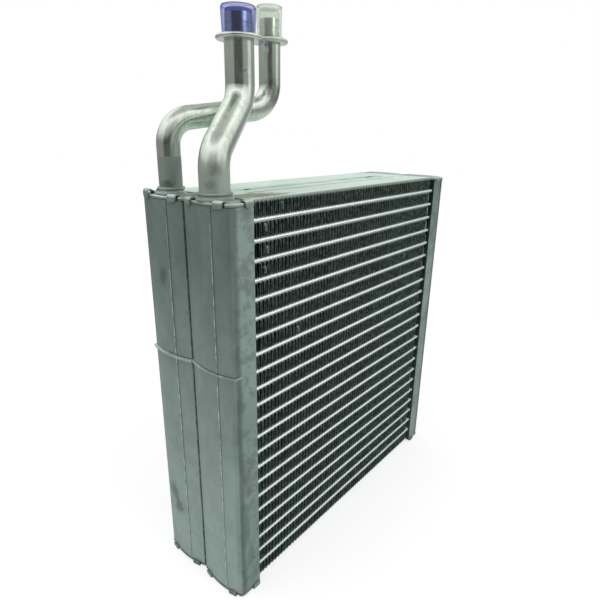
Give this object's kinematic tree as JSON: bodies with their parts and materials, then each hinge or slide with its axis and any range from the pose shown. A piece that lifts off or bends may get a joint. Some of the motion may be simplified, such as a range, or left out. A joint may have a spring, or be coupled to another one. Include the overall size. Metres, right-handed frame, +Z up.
{
  "type": "evaporator core",
  "caption": "Brazed aluminium evaporator core with twin tanks, flat tubes, corrugated fins and two bent connection pipes under transit caps.",
  "frame": {"origin": "centre of the footprint, in the plane of the lower end caps that the core stands on", "axes": "+X along the tubes, from the tanks with the pipes to the plain tanks; +Y through the core with the air, away from the face the picture shows; +Z up"},
  "size_m": [0.246, 0.0754, 0.3512],
  "materials": {
    "tank": "dull brazed",
    "end_cap": "dull brazed",
    "baffle": "dull brazed",
    "tube": "satin",
    "fin": "dark coated",
    "side_plate": "pale brazed",
    "pipe": "satin drawn",
    "blue_cap": "translucent",
    "clear_cap": "milky translucent"
  },
  "bodies": {
    "root": {"tank_front_left": "tank", "tank_rear_left": "tank", "tank_front_right": "tank", "tank_rear_right": "tank", "pipe_cap_front": "end_cap", "pipe_cap_rear": "end_cap", "plain_end_caps": "end_cap", "baffle_front": "baffle", "baffle_rear": "baffle", "side_plate_top": "side_plate", "side_plate_bottom": "side_plate", "pipe_front": "pipe", "pipe_rear": "pipe", "transit_cap_front": "blue_cap", "transit_cap_rear": "clear_cap", "tube_pair_01": "tube", "tube_pair_02": "tube", "tube_pair_03": "tube", "tube_pair_04": "tube", "tube_pair_05": "tube", "tube_pair_06": "tube", "tube_pair_07": "tube", "tube_pair_08": "tube", "tube_pair_09": "tube", "tube_pair_10": "tube", "tube_pair_11": "tube", "tube_pair_12": "tube", "tube_pair_13": "tube", "tube_pair_14": "tube", "tube_pair_15": "tube", "tube_pair_16": "tube", "tube_pair_17": "tube", "tube_pair_18": "tube", "tube_pair_19": "tube", "tube_pair_20": "tube", "tube_pair_21": "tube", "tube_pair_22": "tube", "fin_strip_01": "fin", "fin_strip_02": "fin", "fin_strip_03": "fin", "fin_strip_04": "fin", "fin_strip_05": "fin", "fin_strip_06": "fin", "fin_strip_07": "fin", "fin_strip_08": "fin", "fin_strip_09": "fin", "fin_strip_10": "fin", "fin_strip_11": "fin", "fin_strip_12": "fin", "fin_strip_13": "fin", "fin_strip_14": "fin", "fin_strip_15": "fin", "fin_strip_16": "fin", "fin_strip_17": "fin", "fin_strip_18": "fin", "fin_strip_19": "fin", "fin_strip_20": "fin", "fin_strip_21": "fin", "fin_strip_22": "fin", "fin_strip_23": "fin"}
  },
  "joints": []
}
